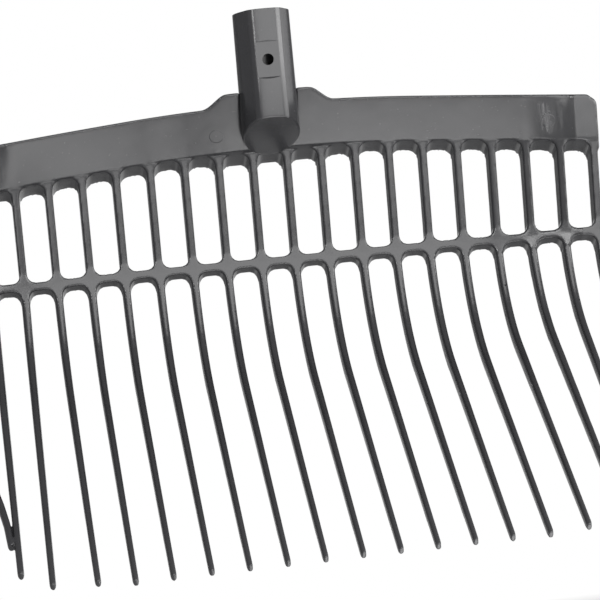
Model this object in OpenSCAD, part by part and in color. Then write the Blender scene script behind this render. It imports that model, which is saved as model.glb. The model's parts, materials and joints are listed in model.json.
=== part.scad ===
// Moulded plastic head of a manure fork, seen with the socket up and the hollow side towards -Y.
// The origin is the centre of the socket's mouth, +Z points out of the mouth, X runs across the head.
// All lengths are millimetres, all angles degrees.

/* [Comb] */
// Distance between neighbouring tines, measured along the sheet
pitch = 21.5; // [18:0.5:26]
// Width of a slat or tine root at its front face
bar_front_w = 4.2; // [2.5:0.1:6]
// Width of a slat or tine root at its back face
bar_back_w = 5.1; // [3:0.1:8]
// Depth of a slat from front to back
bar_depth = 8.8; // [6:0.5:14]
// Height of the slots on the axis, along the slats
slot_h = 68.7; // [50:1:90]
// Corner radius of the slots at the front
slot_corner_r = 5.4; // [3:0.1:7]
// How far the slats lean back below the plate
slat_lean = 2.4; // [0:0.1:16]

/* [Plate] */
// Height of the plate above the slots
plate_h = 27.5; // [18:0.5:40]
// Thickness of the plate at its upper edge
plate_t = 4; // [2.5:0.1:6]
// Height of the thick rim along the plate's lower edge
rim_h = 12; // [6:0.5:18]
// Depth of that rim, from front to back
rim_depth = 10.4; // [9:0.1:14]
// How far the top of the plate leans forward of the socket's axis
plate_lean = 24; // [14:0.5:32]
// Radius of the arch that the plate's edges and the slot tops follow
arch_r = 1150; // [900:10:4000]
// Distance from the axis to where that arch runs on straight
arch_half = 90; // [60:1:150]
// How far the plate's lower edge stands proud of the slats
plate_lip = 0.5; // [0.3:0.1:1]
// How much further it stands proud on the axis, as a hood over the slat tops
hood_depth = 2; // [0:0.1:4]
// Half width of the hood at its full depth
hood_flat_half = 18; // [10:1:30]
// Half width of the hood where it ends
hood_half = 64; // [50:1:90]
// How much deeper the rim is behind the hood
rim_boss = 1.8; // [0:0.1:4]
// Rise of the shoulder beside the socket
hump_h = 8.2; // [2:0.2:16]
// Half width of the shoulder at its top
hump_top_half = 25.5; // [20:0.5:32]
// Half width of the shoulder where it meets the plate's edge
hump_foot_half = 41; // [34:0.5:60]
// Radius of the plate's outer upper corners
end_corner_r = 7; // [2:0.5:10]
// Width of the lip outside the outermost slat
end_lip = 0.8; // [0.5:0.1:4]

/* [Wings] */
// Distance from the axis to where the sheet starts to bend forward, along the sheet
wing_start = 80; // [50:1:110]
// Bend radius of the wings
wing_r = 240; // [160:5:600]
// Distance from the axis to the crease where the end flap turns back, along the sheet
flap_start = 193.5; // [186:0.5:200]
// Distance from the axis to where the plate's lean starts to fade out
fade_start = 158; // [126:1:180]
// Rise of the slots' lower ends at the last slots
end_rise = 1.7; // [0:0.1:4]
// Distance from the axis to where that rise starts
end_rise_start = 140; // [100:1:170]

/* [Crossbar] */
// Height of the crossbar's front face between two bars
crossbar_h = 4.7; // [3:0.1:8]
// Depth of the crossbar between two bars
crossbar_depth = 6.4; // [4:0.2:9]
// Corner radius of the gaps below the crossbar
gap_corner_r = 5.8; // [3:0.1:7]

/* [Tines] */
// Distance along the slats from the slot tops to where the bend starts
bend_start = 59.2; // [45:1:80]
// Radius of the tines' bend at the front face
bend_r = 90.4; // [60:1:120]
// Angle through which the tines bend
bend_turn = 61.6; // [40:0.5:80]
// Straight length of a tine beyond its bend
tine_straight = 161.5; // [100:1:220]
// Width of a tine's front face at the tip
tip_front_w = 2.6; // [2:0.1:4]
// Width of a tine's back at the tip
tip_back_w = 3.5; // [2.5:0.1:6]
// Depth of a tine at the tip
tip_depth = 5; // [3:0.1:8]
// Chamfer along the tines' edges
tine_chamfer = 0.8; // [0.3:0.1:1.2]

/* [Socket] */
// Diameter of the round handle that the socket takes
handle_d = 28; // [24:0.5:30]
// Clearance on the handle's diameter
handle_clearance = 0.4; // [0.2:0.1:1]
// Outside diameter of the socket at its mouth
socket_d = 34.2; // [33:0.2:42]
// Outside diameter of the socket at its lower end
socket_low_d = 36.2; // [34:0.2:44]
// Slope of the mouth, which is cut higher in front than behind
mouth_slope = 8; // [0:0.5:15]
// Length of the socket's front face, from the mouth down to its sloped end
socket_front_l = 63.4; // [50:0.5:80]
// Depth of the bore
bore_depth = 56.5; // [40:0.5:60]
// Distance from the socket's mouth down to the slot tops
mouth_rise = 83.1; // [70:0.2:110]
// Distance of the socket's axis in front of the slot tops
socket_stand_off = 15.9; // [10:0.2:20]
// Width of the socket's front face
front_w = 14.4; // [10:0.2:18]
// Distance of the front face from the socket's axis, at its middle
front_y = 18.2; // [17:0.1:22]
// How far the front face bulges between its edges
front_bulge = 0.7; // [0.1:0.1:1.5]
// Width of the narrow facet on each side of the front face
side_facet_w = 3.2; // [1:0.1:5]
// Width of the flat recess on the front face
recess_w = 13.6; // [8:0.2:16]
// Height of the recess
recess_h = 21.3; // [14:0.5:30]
// Depth of the recess
recess_depth = 0.8; // [0.3:0.1:1.2]
// Diameter of the screw hole in the recess
screw_d = 7; // [3:0.1:9]
// Distance of the screw hole below the mouth
screw_drop = 28.4; // [20:0.1:38]

/* [Hidden] */
// Mould: every slot, gap and end wall runs along one draw direction, this far above the horizontal
draw_angle = 34;
// Turn of the socket's side facets from straight ahead
side_facet_turn = 27;
// Overrun of cuts past the faces that they open
overrun = 2;

tine_count = 20;
side_slot_count = (tine_count - 2) / 2;
corner_steps = 3;
bend_steps = 14;
straight_steps = 3;
closing_steps = 8;
bulge_steps = 5;

// The outer tines bend less but tighter, and are shorter: entries run inwards from the outermost tine
outer_turn_shares = [0.9, 0.9, 0.93];
outer_bend_shares = [0.88, 0.88, 0.88, 0.88];
outer_straight_shares = [0.76, 0.9, 0.99, 1.05];
// How far the outer tines spread sideways at their tips, as shares of the pitch
outer_spread_shares = [0, 0.05, 0.2];
// The outermost tine closes in on its neighbour over this share of its straight length
closing_share = 0.9;
tip_round_share = 0.72;

bore_d = handle_d + handle_clearance;

function bar_name(kind, i) = str(kind, i < 10 ? "_0" : "_", i);
function bar_u(i) = (i - (tine_count + 1) / 2) * pitch;
function smooth(x) = let (c = min(1, max(0, x))) c * c * (3 - 2 * c);

// Plan of the sheet: distance u along it from the axis gives the place across and the place forward
function bent(u) = (max(min(abs(u), flap_start), wing_start) - wing_start) / wing_r * 180 / PI;
function across(u) = sign(u) * (min(abs(u), wing_start) + wing_r * sin(bent(u)) + max(abs(u) - flap_start, 0));
function forward(u) = wing_r * (1 - cos(bent(u)));

// Profile of the sheet: distance s down the slats from the slot tops on the axis
function lean_at(s) = max(s - bend_start, 0) / bend_r * 180 / PI - slat_lean;
function prof_y(s) = min(s, bend_start) * sin(slat_lean)
    + (s > bend_start ? bend_r * (cos(lean_at(s)) - cos(slat_lean)) : 0);
function prof_z(s) = -min(s, bend_start) * cos(slat_lean)
    - (s > bend_start ? bend_r * (sin(lean_at(s)) + sin(slat_lean)) : 0);

// Point of the slatted sheet at u and s, lying d deep behind the front face; depths run along the draw,
// which takes longer through the turned wings
function sheet(u, s, d) = let (reach = d / cos(draw_angle - lean_at(s)) / cos(bent(u)))
    [across(u),
     prof_y(s) - forward(u) + socket_stand_off + reach * cos(draw_angle),
     prof_z(s) - mouth_rise - reach * sin(draw_angle)];

// Sag of the arch, how far the plate's lower edge stands proud, and where its wall meets the slats' face
function arch(u) = let (a = min(abs(u), arch_half)) a * (abs(u) - a / 2) / arch_r;
function hood(u) = smooth((hood_half - abs(u)) / (hood_half - hood_flat_half));
function proud(u) = plate_lip + hood_depth * hood(u);
function rim_s(u) = arch(u) + proud(u) * tan(draw_angle + slat_lean);

// Point of the plate at u, height h above its lower edge and depth d; its lean fades out over the wings
function plate_lean_at(u) = plate_lean
    - (plate_lean - slat_lean) * smooth((abs(u) - fade_start) / (flap_start - fade_start));
function plate(u, h, d, edge_u) =
    [across(u),
     prof_y(arch(edge_u)) - proud(edge_u) - h * tan(plate_lean_at(u)) - forward(u) + socket_stand_off + d,
     prof_z(arch(edge_u)) + h - mouth_rise];

// Lower end of the slots, along the slats
function slot_low(u) = slot_h - end_rise * smooth((abs(u) - end_rise_start) / (flap_start - end_rise_start));

// Stations across the sheet: [u at the front, u at the back, share of the corner's drop, u that sets the arch]
half_front = (pitch - bar_front_w) / 2;
half_back = (pitch - bar_back_w) / 2;
function corner_station(k, side, a) = let (
        inset = slot_corner_r * (1 - cos(a)),
        u = k * pitch + side * (half_front - inset))
    [u, k * pitch + side * (half_back - inset), 1 - sin(a), a == 0 ? (k + side / 2) * pitch : u];
function slot_stations(k) = concat(
    [for (i = [0 : corner_steps]) corner_station(k, -1, 90 * i / corner_steps)],
    [[k * pitch, k * pitch, 0, k * pitch]],
    [for (i = [corner_steps : -1 : 0]) corner_station(k, 1, 90 * i / corner_steps)]);
inner_stations = [for (k = [-side_slot_count : side_slot_count]) each slot_stations(k)];

last_u = bar_u(tine_count);
end_u = last_u + bar_back_w / 2 + end_lip;
last_bar = [last_u + bar_front_w / 2, last_u + bar_back_w / 2, 1, last_u];
end_lip_shares = [0.35, 0.7, 0.9, 1];
lip_stations = [for (f = end_lip_shares) let (u = last_bar[1] + f * end_lip) [u, u, 1, last_u]];
function mirrored(st) = [-st[0], -st[1], st[2], -st[3]];
function closed(list) = concat([for (i = [len(list) - 1 : -1 : 0]) mirrored(list[i])], inner_stations, list);
plate_stations = closed(concat([last_bar], lip_stations));
crossbar_stations = closed([last_bar]);

// A closed body lofted through rings that all have the same number of points
module loft(rings) {
    n = len(rings[0]);
    last = len(rings) - 1;
    polyhedron(
        [for (ring = rings) each ring],
        concat(
            [[for (i = [n - 1 : -1 : 0]) i]],
            [for (j = [0 : last - 1], i = [0 : n - 1]) let (k = (i + 1) % n)
                each [[j * n + i, j * n + k, j * n + n + k], [j * n + i, j * n + n + k, j * n + n + i]]],
            [[for (i = [0 : n - 1]) last * n + i]]));
}

function hump(u) = hump_h * smooth((hump_foot_half - abs(u)) / (hump_foot_half - hump_top_half));
function end_corner(u) = let (x = abs(u) - end_u + end_corner_r)
    x > 0 ? end_corner_r - sqrt(max(0, end_corner_r * end_corner_r - x * x)) : 0;
function plate_top(u) = plate_h + hump(u) - end_corner(u);

// Section of the plate at one station, from the upper front edge round to the upper back edge
step_share = 0.04;
function plate_ring(st) = let (
        rim = rim_s(st[3]),
        low = rim + st[2] * slot_corner_r,
        nose = (1 - st[2]) * rim_depth * step_share)
    [plate(st[0], plate_top(st[0]), 0, st[0]),
     plate(st[0], 0, 0, st[3]),
     sheet(st[0], rim, 0),
     sheet(st[0], low, nose),
     sheet(st[1], low, rim_depth + rim_boss * hood(st[3])),
     plate(st[1], rim_h, plate_t, st[1]),
     plate(st[1], plate_top(st[1]), plate_t, st[1])];

// Solid of the socket before it is bored: a slightly tapered tube with a nose that carries the front face,
// its mouth cut on a slope and its lower end cut along the draw
socket_l = socket_front_l + (front_y + socket_low_d / 2) * tan(draw_angle);
mean_r = (socket_d + socket_low_d) / 4;
front_face = [for (i = [-bulge_steps : bulge_steps]) let (f = i / bulge_steps)
    [f * front_w / 2, front_bulge * f * f - front_y]];
front_corner = [front_w / 2, front_bulge - front_y];
facet_corner = front_corner + side_facet_w * [cos(side_facet_turn), sin(side_facet_turn)];
nose_angle = atan(-facet_corner[0] / facet_corner[1]) + acos(min(1, mean_r / norm(facet_corner)));
flank_corner = mean_r * [sin(nose_angle), -cos(nose_angle)];
function other_side(p) = [-p[0], p[1]];
module socket_body() {
    difference() {
        translate([0, 0, -socket_l]) {
            cylinder(d1 = socket_low_d, d2 = socket_d, h = socket_l + socket_d, $fn = 96);
            linear_extrude(socket_l + socket_d) polygon(concat(
                [[0, 0], other_side(flank_corner), other_side(facet_corner)],
                front_face,
                [facet_corner, flank_corner]));
        }
        rotate([-mouth_slope, 0, 0]) translate([-socket_low_d, -socket_l, 0])
            cube([2 * socket_low_d, 2 * socket_l, socket_l]);
        translate([-socket_low_d, -front_y, -socket_front_l]) rotate([-draw_angle, 0, 0])
            translate([0, -socket_l, -socket_l]) cube([2 * socket_low_d, 3 * socket_l, socket_l]);
    }
}

module handle_socket() {
    color("dimgray") difference() {
        socket_body();
        translate([0, 0, -bore_depth]) cylinder(d = bore_d, h = bore_depth + socket_d, $fn = 96);
        translate([-recess_w / 2, -front_y - overrun, -screw_drop - recess_h / 2])
            cube([recess_w, overrun + recess_depth, recess_h]);
        translate([0, 0, -screw_drop]) rotate([90, 0, 0])
            cylinder(d = screw_d, h = front_y + overrun, $fn = 48);
    }
}

module back_plate() {
    color("dimgray") difference() {
        loft([for (st = plate_stations) plate_ring(st)]);
        socket_body();
    }
}

// Section of the crossbar at one station, from the upper front edge round to the upper back edge
function crossbar_ring(st) = let (
        top = slot_low(st[3]) - st[2] * slot_corner_r,
        low = slot_low(st[3]) + crossbar_h + st[2] * gap_corner_r,
        mid = (top + low) / 2,
        depth = crossbar_depth + (bar_depth - crossbar_depth) * st[2])
    [sheet(st[0], top, 0), sheet(st[0], mid, 0), sheet(st[0], low, 0),
     sheet(st[1], low, depth), sheet(st[1], mid, depth), sheet(st[1], top, depth)];

module crossbar() {
    color("dimgray") loft([for (st = crossbar_stations) crossbar_ring(st)]);
}

// Slats and tines of the left half are the mirror images of those of the right half
function right_twin(i) = max(i, tine_count + 1 - i);
module sided(i) {
    mirror([i < right_twin(i) ? 1 : 0, 0, 0]) children();
}

// A slat: its end faces are the faces that the plate and the crossbar leave between two slots
function slat_ring(u, s) =
    [sheet(u - bar_front_w / 2, s, 0), sheet(u + bar_front_w / 2, s, 0),
     sheet(u + bar_back_w / 2, s, bar_depth), sheet(u - bar_back_w / 2, s, bar_depth)];

module slat(i) {
    u = bar_u(right_twin(i));
    color("gray") sided(i)
        loft([slat_ring(u, slot_low(u) - slot_corner_r), slat_ring(u, rim_s(u) + slot_corner_r)]);
}

// Half section of a tine at share f of the full length: points [across, depth] with chamfered edges
function tine_outline(f, size) = let (
        c = tine_chamfer,
        depth = bar_depth + (tip_depth - bar_depth) * f,
        front = size * (bar_front_w + (tip_front_w - bar_front_w) * f) / 2,
        back = size * (bar_back_w + (tip_back_w - bar_back_w) * f) / 2,
        k = (back - front) * c / depth)
    [[c - front, 0], [front - c, 0], [front + k, c], [back - k, depth - c],
     [back - c, depth], [c - back, depth], [k - back, depth - c], [-front - k, c]];

// Root of a tine under the crossbar, its length round the bend, and its front face at distance t from the
// root: [back, up, lean]
function root_s(u) = slot_low(u) + crossbar_h + gap_corner_r;
function arc_l(r, root, turn) = r * (turn - root) * PI / 180;
function tine_path(t, r, root, turn) = let (
        a = root + min(t, arc_l(r, root, turn)) / r * 180 / PI,
        rest = max(t - arc_l(r, root, turn), 0))
    [r * (cos(a) - cos(root)) - rest * sin(a), r * (sin(root) - sin(a)) - rest * cos(a), a];

full_l = arc_l(bend_r, lean_at(root_s(0)), bend_turn - slat_lean) + tine_straight;
function share_of(shares, k, inner) = k < len(shares) ? shares[k] : inner;

module tine(i) {
    twin = right_twin(i);
    k = tine_count - twin;
    u = bar_u(twin);
    lean = lean_at(root_s(u));
    r = bend_r * share_of(outer_bend_shares, k, 1);
    turn = bend_turn * share_of(outer_turn_shares, k, 1) - slat_lean;
    arc = arc_l(r, lean, turn);
    length = arc + tine_straight * share_of(outer_straight_shares, k, 1);
    closing_l = (length - arc) * closing_share;
    root = sheet(u, root_s(u), 0);
    // Where the outermost tine ends up: beside its neighbour, widest edges touching
    neighbour = bar_u(twin - 1);
    end_outline = tine_outline(length / full_l, 1);
    beside = k == 0 ? sheet(neighbour, root_s(neighbour), 0) + [2 * end_outline[3][0], 0, 0] : root;
    spread = pitch / full_l * share_of(outer_spread_shares, max(k, 1), 0);
    rest_steps = k == 0 ? closing_steps : straight_steps;
    stops = concat(
        [for (j = [0 : bend_steps]) arc * j / bend_steps],
        [for (j = [1 : rest_steps]) arc + (length - tip_depth / 2 - arc) * j / rest_steps],
        [length]);
    color("gray") sided(i) loft([for (t = stops) let (
            p = tine_path(t, r, lean, turn),
            mix = smooth((t - length + closing_l) / closing_l),
            place = root * (1 - mix) + beside * mix + [spread * t, 0, 0],
            near_root = max(0, 1 - t / arc),
            drop = near_root * tan(draw_angle - lean),
            deep = 1 + near_root * (1 / cos(bent(u)) - 1))
        [for (q = tine_outline(t / full_l, t == length ? tip_round_share : 1))
            place + [
                q[0],
                p[0] + q[1] * deep * (cos(p[2]) - drop * sin(p[2])),
                p[1] - q[1] * deep * (sin(p[2]) + drop * cos(p[2]))]]]);
}

handle_socket();
back_plate();
crossbar();
for (i = [1 : tine_count]) {
    slat(i);
    tine(i);
}
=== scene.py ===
import json
import math

import bmesh
import bpy
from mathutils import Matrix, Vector

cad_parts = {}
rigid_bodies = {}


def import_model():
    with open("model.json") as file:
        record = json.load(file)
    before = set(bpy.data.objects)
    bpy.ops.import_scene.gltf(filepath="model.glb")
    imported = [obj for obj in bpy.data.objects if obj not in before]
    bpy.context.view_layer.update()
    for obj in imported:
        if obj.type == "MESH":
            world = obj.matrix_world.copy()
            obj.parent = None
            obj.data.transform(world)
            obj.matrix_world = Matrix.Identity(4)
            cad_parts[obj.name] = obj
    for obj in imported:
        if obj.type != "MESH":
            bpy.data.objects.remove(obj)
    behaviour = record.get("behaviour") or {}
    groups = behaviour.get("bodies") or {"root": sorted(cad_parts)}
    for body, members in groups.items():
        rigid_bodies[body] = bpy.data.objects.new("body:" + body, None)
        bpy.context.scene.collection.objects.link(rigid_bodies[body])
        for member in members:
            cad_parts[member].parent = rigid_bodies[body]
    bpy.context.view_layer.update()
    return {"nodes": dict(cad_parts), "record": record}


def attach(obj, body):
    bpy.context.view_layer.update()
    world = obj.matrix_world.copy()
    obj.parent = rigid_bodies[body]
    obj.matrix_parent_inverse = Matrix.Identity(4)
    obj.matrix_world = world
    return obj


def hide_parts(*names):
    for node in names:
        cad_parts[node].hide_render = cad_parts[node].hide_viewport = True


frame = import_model()

# The moulding
# The whole head is one shot of black plastic, so its members run into each other through small fillets.
# Copies of all solids but the socket are merged into one skin here, which is parted where members meet.
MM = 0.001
WELD = 0.001 * MM
SKIN_GRID = 0.5 * MM
FILLET_PASSES, SMOOTHING, SMOOTHING_LOSS = 14, 0.5, 0.2 * MM
KEPT_SHARE = 0.36
CREASE = math.radians(50)

bpy.ops.object.select_all(action="DESELECT")
for name, node in frame["nodes"].items():
    if name != "handle_socket":
        member = bpy.data.objects.new(f"copy_{name}", node.data.copy())
        bpy.context.collection.objects.link(member)
        member.select_set(True)
        bpy.context.view_layer.objects.active = member
bpy.ops.object.join()
moulding = bpy.context.object
moulding.name = "moulding"
bpy.ops.object.mode_set(mode="EDIT")
bpy.ops.mesh.select_all(action="SELECT")
bpy.ops.mesh.remove_doubles(threshold=WELD)
bpy.ops.object.mode_set(mode="OBJECT")


def finish_with(piece, kind, **settings):
    """Adds a modifier to a piece and applies it."""
    bpy.context.view_layer.objects.active = piece
    modifier = piece.modifiers.new(kind.title(), kind)
    for setting, value in settings.items():
        setattr(modifier, setting, value)
    bpy.ops.object.modifier_apply(modifier=modifier.name)


finish_with(moulding, "REMESH", mode="VOXEL", voxel_size=SKIN_GRID)

# The grid leaves bubbles inside where members meet, so only the skin that is linked to the top is kept
bpy.ops.object.mode_set(mode="EDIT")
bpy.ops.mesh.select_mode(type="VERT")
bpy.ops.mesh.select_all(action="DESELECT")
bpy.ops.object.mode_set(mode="OBJECT")
max(moulding.data.vertices, key=lambda corner: corner.co.z).select = True
bpy.ops.object.mode_set(mode="EDIT")
bpy.ops.mesh.select_linked()
bpy.ops.mesh.select_all(action="INVERT")
bpy.ops.mesh.delete(type="VERT")
bpy.ops.object.mode_set(mode="OBJECT")
finish_with(moulding, "DISPLACE", direction="NORMAL", mid_level=0, strength=SMOOTHING_LOSS)
finish_with(moulding, "SMOOTH", factor=SMOOTHING, iterations=FILLET_PASSES)
moulding.data.materials.clear()


def parted(name, *cuts):
    """A copy of the moulding without what lies beyond each cut, a point and the way that is cut off."""
    bpy.ops.object.select_all(action="DESELECT")
    moulding.select_set(True)
    bpy.context.view_layer.objects.active = moulding
    bpy.ops.object.duplicate()
    piece = bpy.context.object
    piece.name = name
    bpy.ops.object.mode_set(mode="EDIT")
    for point, way in cuts:
        bpy.ops.mesh.select_all(action="SELECT")
        bpy.ops.mesh.bisect(plane_co=point, plane_no=way, use_fill=True, clear_outer=True)
    bpy.ops.mesh.select_all(action="SELECT")
    bpy.ops.mesh.normals_make_consistent(inside=False)
    bpy.ops.object.mode_set(mode="OBJECT")
    return piece


def lightened(piece):
    """Thins out the grid where the skin is plain, drops the folds that this leaves and shades it smooth."""
    finish_with(piece, "DECIMATE", ratio=KEPT_SHARE)
    mesh = bmesh.new()
    mesh.from_mesh(piece.data)
    bmesh.ops.triangulate(mesh, faces=mesh.faces[:])
    twins = {}
    for face in mesh.faces:
        twins.setdefault(frozenset(corner.index for corner in face.verts), []).append(face)
    folds = [face for faces in twins.values() if len(faces) > 1 for face in faces]
    bmesh.ops.delete(mesh, geom=folds, context="FACES")
    mesh.to_mesh(piece.data)
    mesh.free()
    bpy.ops.object.select_all(action="DESELECT")
    piece.select_set(True)
    bpy.ops.object.shade_smooth_by_angle(angle=CREASE)


UP, DOWN, LEFT, RIGHT = (0, 0, 1), (0, 0, -1), (-1, 0, 0), (1, 0, 0)


class Value:
    """A shader socket that takes part in sums, so that a pattern reads as a formula."""

    def __init__(self, tree, socket):
        self.tree, self.socket = tree, socket

    def node(self, kind, settings=None, out=0, **inputs):
        """Adds a node whose inputs are given by name, or by number after the letter i."""
        made = self.tree.nodes.new(kind)
        for setting, value in (settings or {}).items():
            if setting == "stops":
                ramp = made.color_ramp
                for element, (place, shade) in zip(ramp.elements, value):
                    element.position = place
                    element.color = (shade, shade, shade, 1)
            else:
                setattr(made, setting, value)
        for key, value in inputs.items():
            socket = made.inputs[int(key[1:]) if key[1:].isdigit() else key.replace("_", " ")]
            if isinstance(value, Value):
                self.tree.links.new(value.socket, socket)
            else:
                socket.default_value = value
        return Value(self.tree, made.outputs[out])

    def sum(self, operation, other):
        return self.node("ShaderNodeMath", {"operation": operation}, i0=self, i1=other)

    def __add__(self, other):
        return self.sum("ADD", other)

    def __mul__(self, other):
        return self.sum("MULTIPLY", other)

    __radd__ = __add__
    __rmul__ = __mul__


EJECTOR_MARKS = [(-0.0330, 0.0090, -0.0730), (0.1730, -0.0060, -0.0820)]
MARK_OUTSIDE, MARK_INSIDE, MARK_DEPTH = 0.0045, 0.0041, 0.00012
WORN_FROM, WORN_TO = -0.280, -0.312
WAVE_HEIGHT, GRAIN_HEIGHT = 0.0002, 0.0004
DEEP_BLACK, RUBBED_BLACK = (0.024, 0.024, 0.026, 1), (0.056, 0.056, 0.058, 1)


def black_plastic():
    """Satin black plastic from a polished tool: faint flow waves and clouds, a fine grain, pale
    rubbed specks, the round marks of two ejector pins and tips dulled by use."""
    made = bpy.data.materials.new("black_plastic")
    made.use_nodes = True
    tree = made.node_tree
    shader = tree.nodes["Principled BSDF"]
    place = Value(tree, tree.nodes.new("ShaderNodeTexCoord").outputs["Object"])
    cloud = place.node("ShaderNodeTexNoise", Vector=place, Scale=38.0, Detail=3.0)
    grain = place.node("ShaderNodeTexNoise", Vector=place, Scale=1400.0, Detail=2.0)
    specks = place.node("ShaderNodeTexNoise", Vector=place, Scale=520.0, Detail=4.0)
    rubbed = specks.node("ShaderNodeValToRGB", {"stops": [(0.66, 0), (0.78, 1)]}, Fac=specks)
    height = place.node("ShaderNodeSeparateXYZ", out=2, Vector=place)
    tips = height.node("ShaderNodeMapRange", Value=height, i1=WORN_FROM, i2=WORN_TO)
    marks = 0.0
    for centre in EJECTOR_MARKS:
        away = place.node("ShaderNodeVectorMath", {"operation": "DISTANCE"}, out=1, i0=place, i1=centre)
        marks = away.node("ShaderNodeMapRange", Value=away, i1=MARK_OUTSIDE, i2=MARK_INSIDE) + marks
    shade = rubbed.node(
        "ShaderNodeMix",
        {"data_type": "RGBA"},
        out=2,
        i0=0.25 * rubbed + 0.3 * cloud + 0.4 * tips,
        i6=DEEP_BLACK,
        i7=RUBBED_BLACK,
    )
    rough = 0.19 + 0.08 * cloud + 0.10 * rubbed + 0.12 * tips
    waves = place.node("ShaderNodeTexNoise", Vector=place, Scale=70.0, Detail=1.0)
    bump = waves.node("ShaderNodeBump", Strength=0.6, Distance=WAVE_HEIGHT, Height=waves)
    bump = marks.node("ShaderNodeBump", Strength=0.8, Distance=MARK_DEPTH, Height=marks, Normal=bump)
    bump = grain.node("ShaderNodeBump", Strength=0.06, Distance=GRAIN_HEIGHT, Height=grain, Normal=bump)
    shader.inputs["IOR"].default_value = 1.6
    shader.inputs["Specular IOR Level"].default_value = 0.65
    tree.links.new(shade.socket, shader.inputs["Base Color"])
    tree.links.new(rough.socket, shader.inputs["Roughness"])
    tree.links.new(bump.socket, shader.inputs["Normal"])
    return made


plastic = black_plastic()

# Handle socket
# The tube that takes the round handle, open at the top, with narrow facets beside its bulging front face and
# a flat recess where a screw goes through the wall into the wood; the mould leaves its edges a little eased.
TOP_RADIUS, LOW_RADIUS = 17.37 * MM, 18.1 * MM
FRONT_WIDTH, FRONT_REACH, BULGE = 14.4 * MM, 18.2 * MM, 0.7 * MM
FACET_WIDTH, FACET_TURN = 3.2 * MM, math.radians(27)
FRONT_LENGTH, END_SLOPE, MOUTH_SLOPE = 63.4 * MM, math.radians(34), math.radians(8)
OVERRUN, LOW_END = 6.0 * MM, 88.0 * MM
RECESS_HEIGHT, RECESS_PLACE, RAMP = 21.3 * MM, 17.48 * MM, 1.0 * MM
RECESS_CUT, SCREW_CUT = 4.0 * MM, 12.0 * MM
ARRIS_EASE, NOSE_EASE, EDGE, END_EDGE = 0.8 * MM, 0.5 * MM, 0.4 * MM, 1.3 * MM
FACE_STEPS, EASE_STEPS, BACK_STEPS = 8, 5, 32
RIM_TURN, TUBE_CREASE = math.radians(30), math.radians(8)


def eased(before, corner, after):
    """Points that round off a corner of an outline."""
    steps = [(i / EASE_STEPS, 1 - i / EASE_STEPS) for i in range(EASE_STEPS + 1)]
    return [(b * b * before + 2 * a * b * corner + a * a * after) for a, b in steps]


def on_front(x):
    """A point of the bulging front face."""
    return Vector((x, BULGE * (2 * x / FRONT_WIDTH) ** 2 - FRONT_REACH))


def outline(radius, height):
    """The tube's outside at one height: over the front face and its facets, and round the back."""
    reach = FRONT_WIDTH / 2 - ARRIS_EASE
    side = [on_front(i / FACE_STEPS * reach) for i in range(FACE_STEPS)]
    arris = Vector((FRONT_WIDTH / 2, BULGE - FRONT_REACH))
    along = Vector((math.cos(FACET_TURN), math.sin(FACET_TURN)))
    side += eased(on_front(reach), arris, arris + ARRIS_EASE * along)
    nose = arris + FACET_WIDTH * along
    turn = math.atan2(nose.x, -nose.y) + math.acos(radius / nose.length)
    touch = radius * Vector((math.sin(turn), -math.cos(turn)))
    side += eased(nose - NOSE_EASE * along, nose, nose + NOSE_EASE * (touch - nose).normalized())
    angles = [turn + (math.pi - turn) * i / BACK_STEPS for i in range(BACK_STEPS + 1)]
    side += [radius * Vector((math.sin(angle), -math.cos(angle))) for angle in angles]
    other = [Vector((-point.x, point.y)) for point in side[-2:0:-1]]
    return [(point.x, point.y, height) for point in side + other]


mounts = {mount["name"]: mount for mount in frame["record"]["mounts"]}
bore, screw = mounts["handle_socket"]["dims"], mounts["screw_hole"]["dims"]
screw_place = Vector(mounts["screw_hole"]["pos_m"])
upper, lower = outline(TOP_RADIUS, OVERRUN), outline(LOW_RADIUS, -LOW_END)
turns = len(upper)
walls = [(i, turns + i, turns + (i + 1) % turns, (i + 1) % turns) for i in range(turns)]
tube = bpy.data.meshes.new("handle_socket_tube")
tube.from_pydata(upper + lower, [], walls + [range(turns), range(2 * turns - 1, turns - 1, -1)])
socket = bpy.data.objects.new("handle_socket_tube", tube)
bpy.context.collection.objects.link(socket)
bpy.ops.object.select_all(action="DESELECT")
socket.select_set(True)
bpy.context.view_layer.objects.active = socket
bpy.ops.object.mode_set(mode="EDIT")
bpy.ops.mesh.select_all(action="SELECT")
bpy.ops.mesh.normals_make_consistent(inside=False)
mouth_way = (0, math.sin(MOUTH_SLOPE), math.cos(MOUTH_SLOPE))
bpy.ops.mesh.bisect(plane_co=(0, 0, 0), plane_no=mouth_way, use_fill=True, clear_outer=True)
bpy.ops.mesh.select_all(action="SELECT")
end_place = (0, -FRONT_REACH, -FRONT_LENGTH)
end_way = (0, -math.sin(END_SLOPE), -math.cos(END_SLOPE))
bpy.ops.mesh.bisect(plane_co=end_place, plane_no=end_way, use_fill=True, clear_outer=True)
bpy.ops.object.mode_set(mode="OBJECT")


def cut_away(piece, cutter):
    """Takes the cutter's shape out of a piece, and the cutter out of the scene."""
    finish_with(piece, "BOOLEAN", operation="DIFFERENCE", solver="EXACT", object=cutter)
    bpy.data.objects.remove(cutter)


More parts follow.
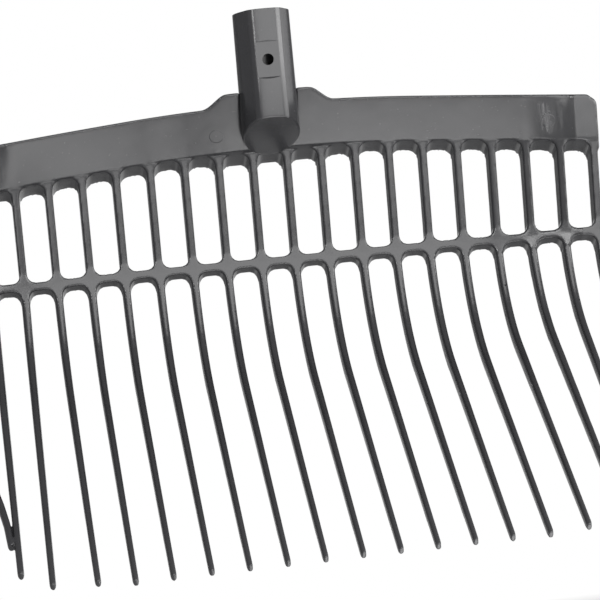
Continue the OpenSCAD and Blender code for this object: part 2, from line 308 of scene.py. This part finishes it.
# The bore is blind, and the rims of the mouth and of the closed end are eased
depth = bore["length_mm"] * MM
bpy.ops.mesh.primitive_cylinder_add(vertices=96, radius=bore["r_mm"] * MM, depth=2 * depth)
cut_away(socket, bpy.context.object)
socket.select_set(True)
bpy.ops.object.mode_set(mode="EDIT")
bpy.ops.mesh.select_mode(type="EDGE")
bpy.ops.mesh.select_all(action="DESELECT")
bpy.ops.mesh.edges_select_sharp(sharpness=RIM_TURN)
bpy.ops.object.mode_set(mode="OBJECT")
for rim in [edge for edge in socket.data.edges if edge.select]:
    rim.select = socket.data.vertices[rim.vertices[0]].co.z < -depth - MM
bpy.ops.object.mode_set(mode="EDIT")
bpy.ops.mesh.bevel(offset=END_EDGE, segments=5, clamp_overlap=True)
bpy.ops.mesh.select_all(action="DESELECT")
bpy.ops.mesh.edges_select_sharp(sharpness=RIM_TURN)
bpy.ops.mesh.bevel(offset=EDGE, segments=4, clamp_overlap=True)
bpy.ops.object.mode_set(mode="OBJECT")

# The recess is cut flat across the bulge and runs out through short ramps above and below
bpy.ops.mesh.primitive_cube_add(size=1, location=(0, -RECESS_PLACE - RECESS_CUT / 2, screw_place.z))
recess = bpy.context.object
bpy.ops.transform.resize(value=(2 * FRONT_WIDTH, RECESS_CUT, RECESS_HEIGHT))
bpy.ops.object.transform_apply(location=True, rotation=False, scale=True)
flare = RAMP * RECESS_CUT / (FRONT_REACH - RECESS_PLACE)
for corner in recess.data.vertices:
    if corner.co.y < -RECESS_PLACE - MM:
        corner.co.z += math.copysign(flare, corner.co.z - screw_place.z)
cut_away(socket, recess)
bpy.ops.mesh.primitive_cylinder_add(
    vertices=48,
    radius=screw["r_mm"] * MM,
    depth=SCREW_CUT,
    location=screw_place,
    rotation=(math.pi / 2, 0, 0),
)
cut_away(socket, bpy.context.object)
socket.select_set(True)
bpy.context.view_layer.objects.active = socket
bpy.ops.object.shade_smooth_by_angle(angle=TUBE_CREASE)

# Back plate
# The arched plate behind the socket, with a shoulder beside the tube, a thick lower rim that the slot tops
# scallop, and ends that sweep forward and turn back into a flat flap.
SLAT_CUT = Vector((0, 0, -108.0 * MM))
plate = parted("back_plate_shell", (SLAT_CUT, DOWN))

# Its broad faces are evened out away from their edges, so that none of the solid's facets show
EDGE_TURN, EDGE_RINGS, EVENING_PASSES = math.cos(math.radians(4)), 3, 120
edges = [tuple(edge.vertices) for edge in plate.data.edges]
normals = [corner.normal.copy() for corner in plate.data.vertices]
at_edges = {end for one, two in edges if normals[one].dot(normals[two]) < EDGE_TURN for end in (one, two)}
for ring in range(EDGE_RINGS):
    at_edges |= {end for one, two in edges if one in at_edges or two in at_edges for end in (one, two)}
broad = plate.vertex_groups.new(name="broad")
broad.add([i for i in range(len(normals)) if i not in at_edges], 1, "REPLACE")
finish_with(plate, "SMOOTH", factor=SMOOTHING, iterations=EVENING_PASSES, vertex_group="broad")
plate.vertex_groups.clear()
lightened(plate)

# Slats and crossbar
# Drafted bars between the slots, tied below by a thin web that is filleted into each of them.
TINE_CUT = Vector((0, 0, -182.0 * MM))
slats = parted("slats_and_crossbar", (SLAT_CUT, UP), (TINE_CUT, DOWN))
lightened(slats)

# Tines
# Long springy tapered prongs, bent forward in one sweep; the outermost on each side leans on its neighbour.
MIDDLE = Vector((0, 0, 0))
left_tines = parted("tines_left", (TINE_CUT, UP), (MIDDLE, RIGHT))
right_tines = parted("tines_right", (TINE_CUT, UP), (MIDDLE, LEFT))
lightened(left_tines)
lightened(right_tines)

bpy.data.objects.remove(moulding)

# Each piece takes the place of the solids whose shape it shows
TINES_A_SIDE = 10
stands_for = [
    (socket, ["handle_socket"]),
    (plate, ["back_plate"]),
    (slats, ["crossbar"] + [f"slat_{i:02d}" for i in range(1, 2 * TINES_A_SIDE + 1)]),
    (left_tines, [f"tine_{i:02d}" for i in range(1, TINES_A_SIDE + 1)]),
    (right_tines, [f"tine_{i:02d}" for i in range(TINES_A_SIDE + 1, 2 * TINES_A_SIDE + 1)]),
]
for piece, nodes in stands_for:
    piece.data.materials.clear()
    piece.data.materials.append(plastic)
    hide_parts(*nodes)
    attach(piece, "root")

# Studio
# Pale paper well below the tines and up a wall, with a pool of white behind the head; a tall soft box beside
# the camera, smaller ones at the sides, and two strips that shine up from the floor in front of the plate.
FLOOR, FLOOR_WIDTH, FLOOR_FRONT = -0.45, 10, 5
WALL, WALL_HEIGHT = 3.2, 1.5
POOL_SLANT, POOL_SPREAD, POOL_MARGIN = 0.139, 0.135, 0.03
POOL_OUTSIDE, POOL_INSIDE = 1.5, 1.08
POOL_FROM, POOL_FULL = 0.20, 0.27
CAMERA_PLACE = Vector((-189.6, -1530.4, -17.8)) * MM
bpy.ops.object.select_all(action="DESELECT")
bpy.ops.mesh.primitive_plane_add(size=1)
floor = bpy.context.object
floor.name = "floor"
bpy.ops.object.mode_set(mode="EDIT")
bpy.ops.transform.resize(value=(FLOOR_WIDTH, WALL + FLOOR_FRONT, 1))
bpy.ops.transform.translate(value=(0, (WALL - FLOOR_FRONT) / 2, FLOOR))
bpy.ops.mesh.select_all(action="DESELECT")
bpy.ops.object.mode_set(mode="OBJECT")
for edge in floor.data.edges:
    edge.select = all(floor.data.vertices[v].co.y > WALL - 0.1 for v in edge.vertices)
bpy.ops.object.mode_set(mode="EDIT")
bpy.ops.mesh.select_mode(type="EDGE")
bpy.ops.mesh.extrude_region_move(TRANSFORM_OT_translate={"value": (0, 0, WALL_HEIGHT)})
bpy.ops.object.mode_set(mode="OBJECT")


def pale_paper():
    """Pale paper that is white, to the camera and in reflections, where it lies behind the head."""
    made = bpy.data.materials.new("pale_paper")
    made.use_nodes = True
    tree = made.node_tree
    shader = tree.nodes["Principled BSDF"]
    shader.inputs["Base Color"].default_value = (0.6, 0.6, 0.6, 1)
    shader.inputs["Roughness"].default_value = 0.9
    place = Value(tree, tree.nodes.new("ShaderNodeTexCoord").outputs["Object"])
    x = place.node("ShaderNodeSeparateXYZ", Vector=place)
    y = place.node("ShaderNodeSeparateXYZ", out=1, Vector=place)
    depth = y + -CAMERA_PLACE.y
    aside = (x + -CAMERA_PLACE.x + -POOL_SLANT * depth).sum("ABSOLUTE", 0.0)
    spread = aside.sum("DIVIDE", POOL_SPREAD * depth + POOL_MARGIN)
    pool = spread.node("ShaderNodeMapRange", Value=spread, i1=POOL_OUTSIDE, i2=POOL_INSIDE)
    pool = pool * y.node("ShaderNodeMapRange", Value=y, i1=POOL_FROM, i2=POOL_FULL)
    rays = tree.nodes.new("ShaderNodeLightPath")
    seen = Value(tree, rays.outputs["Is Camera Ray"])
    seen = seen.sum("MAXIMUM", Value(tree, rays.outputs["Is Glossy Ray"]))
    glow = seen.node("ShaderNodeEmission", Color=(1, 1, 1, 1), Strength=1.0)
    mixed = seen.node("ShaderNodeMixShader", i0=pool * seen, i1=Value(tree, shader.outputs[0]), i2=glow)
    tree.links.new(mixed.socket, tree.nodes["Material Output"].inputs["Surface"])
    return made


floor.data.materials.append(pale_paper())

world = bpy.context.scene.world or bpy.data.worlds.new("World")
bpy.context.scene.world = world
world.use_nodes = True
world.node_tree.nodes["Background"].inputs["Color"].default_value = (0.30, 0.30, 0.31, 1)


def soft_box(name, place, aim, width, height, power):
    """A rectangular lamp that faces the point it is aimed at and is not seen by the camera."""
    lamp = bpy.data.lights.new(name, "AREA")
    lamp.shape = "RECTANGLE"
    lamp.size, lamp.size_y, lamp.energy = width, height, power
    stand = bpy.data.objects.new(name, lamp)
    bpy.context.collection.objects.link(stand)
    stand.location = place
    stand.rotation_euler = (Vector(aim) - Vector(place)).to_track_quat("-Z", "Y").to_euler()
    stand.visible_camera = False


soft_box("front_box", (0.385, -1.55, 0.795), (0.385, 0, 0.795), 1.43, 2.31, 23.4)
soft_box("right_box", (1.30, -0.15, 0.10), (0, -0.15, 0.10), 1.50, 1.05, 7.0)
soft_box("right_strip", (0.975, -0.735, 0.06), (0, 0, 0.06), 0.60, 0.45, 3.6)
soft_box("left_strip", (-0.655, -1.30, 0.08), (0, 0, 0.08), 0.36, 0.26, 2.7)
soft_box("low_strip", (0.2575, -0.24, FLOOR + 0.01), (0.2575, -0.24, 1.0), 0.605, 0.16, 0.80)
soft_box("wing_glint", (0.08, -0.60, FLOOR + 0.01), (0.08, -0.60, 1.0), 0.38, 0.05, 0.55)

# Camera
# A long lens from the front, a little left of the middle and slightly above, as in the photo.
lens = bpy.data.cameras.new("camera")
lens.lens, lens.sensor_width = 150, 36
camera = bpy.data.objects.new("camera", lens)
bpy.context.collection.objects.link(camera)
camera.location = CAMERA_PLACE
camera.rotation_euler = [math.radians(angle) for angle in (84.035, 5.073, -7.909)]
bpy.context.scene.camera = camera
bpy.context.scene.view_settings.view_transform = "Standard"
